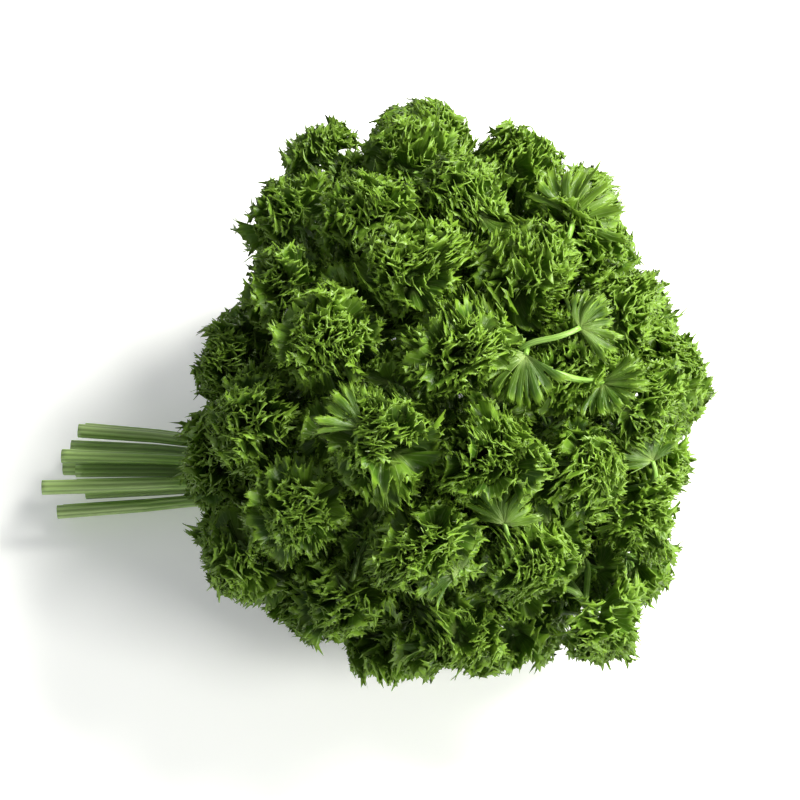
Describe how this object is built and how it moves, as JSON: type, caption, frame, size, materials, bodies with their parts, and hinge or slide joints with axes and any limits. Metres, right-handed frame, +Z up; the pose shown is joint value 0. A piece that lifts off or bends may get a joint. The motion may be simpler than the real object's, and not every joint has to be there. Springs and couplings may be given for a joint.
{
  "type": "curly parsley bunch",
  "caption": "Bunch of curly parsley lying on its side, cut stems together at one end and a full head of crisped leaflets at the other.",
  "frame": {"origin": "under the middle of the bounding box, on the surface that the bunch lies on", "axes": "+X from the cut stem ends to the leafy head, +Z up, -Y towards the front"},
  "size_m": [0.2064, 0.1857, 0.1278],
  "materials": {
    "leaf": "fresh green leaf, satin, slightly translucent"
  },
  "bodies": {
    "root": {"leafy_stem_01": "leaf", "leafy_stem_02": "leaf", "leafy_stem_03": "leaf", "leafy_stem_04": "leaf", "leafy_stem_05": "leaf", "leafy_stem_06": "leaf", "leafy_stem_07": "leaf", "leafy_stem_08": "leaf", "leafy_stem_09": "leaf", "leafy_stem_10": "leaf", "leafy_stem_11": "leaf", "leafy_stem_12": "leaf", "leafy_stem_13": "leaf", "leafy_stem_14": "leaf"}
  },
  "joints": []
}
